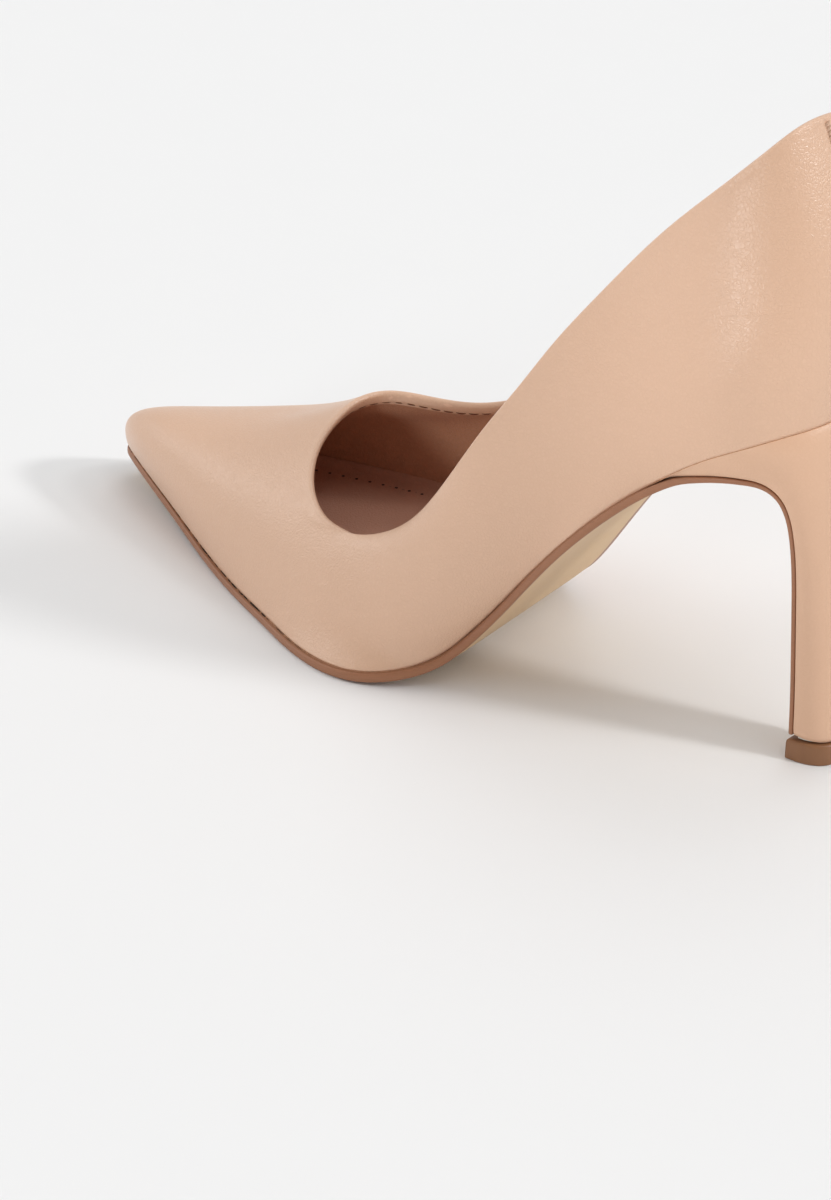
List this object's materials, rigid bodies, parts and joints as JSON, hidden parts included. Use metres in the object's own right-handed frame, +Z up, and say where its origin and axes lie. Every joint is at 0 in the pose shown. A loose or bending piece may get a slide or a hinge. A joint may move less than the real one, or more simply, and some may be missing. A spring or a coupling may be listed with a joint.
{
  "type": "high heel pump",
  "caption": "Pointed-toe court shoe for the left foot with a slim covered high heel, low-cut throat, folded top edge and thin sole.",
  "frame": {"origin": "middle of the bounding box in plan, on the floor under the sole and heel tip", "axes": "+X towards the toe, +Y to the shoe's left (outer) side, +Z up"},
  "size_m": [0.2138, 0.0774, 0.1447],
  "materials": {
    "upper_leather": "smooth nude synthetic leather, soft sheen",
    "lining_material": "pinkish-beige grained synthetic lining",
    "sock_material": "pinkish-beige synthetic sock",
    "stiffener": "resin-impregnated felt",
    "thread": "matt polyester thread",
    "sole_resin": "cream sheet with a brown painted edge",
    "filler": "cork and latex filler",
    "foam": "open-cell latex foam",
    "board": "cellulose board",
    "steel": "zinc-plated steel",
    "heel_plastic": "moulded ABS",
    "top_piece_plastic": "brown cast polyurethane"
  },
  "bodies": {
    "root": {"upper": "upper_leather", "lining": "lining_material", "heel_counter": "stiffener", "side_stay_outer": "stiffener", "side_stay_inner": "stiffener", "toe_puff": "stiffener", "topline_stitching": "thread", "back_seam_stitching": "thread", "bar_tack": "thread", "outsole": "sole_resin", "forepart_filler": "filler", "insole_foam": "foam", "sock": "sock_material", "sock_stitching": "thread", "steel_shank": "steel", "breast_flap": "sole_resin", "heel_cover": "upper_leather", "heel_screw": "steel", "heel_nail_1": "steel", "heel_nail_2": "steel", "heel_nail_3": "steel", "heel_nail_4": "steel", "heel_block": "heel_plastic", "heel_tube": "steel", "top_piece_pin": "steel", "insole_board": "board", "top_piece": "top_piece_plastic"}
  },
  "joints": []
}
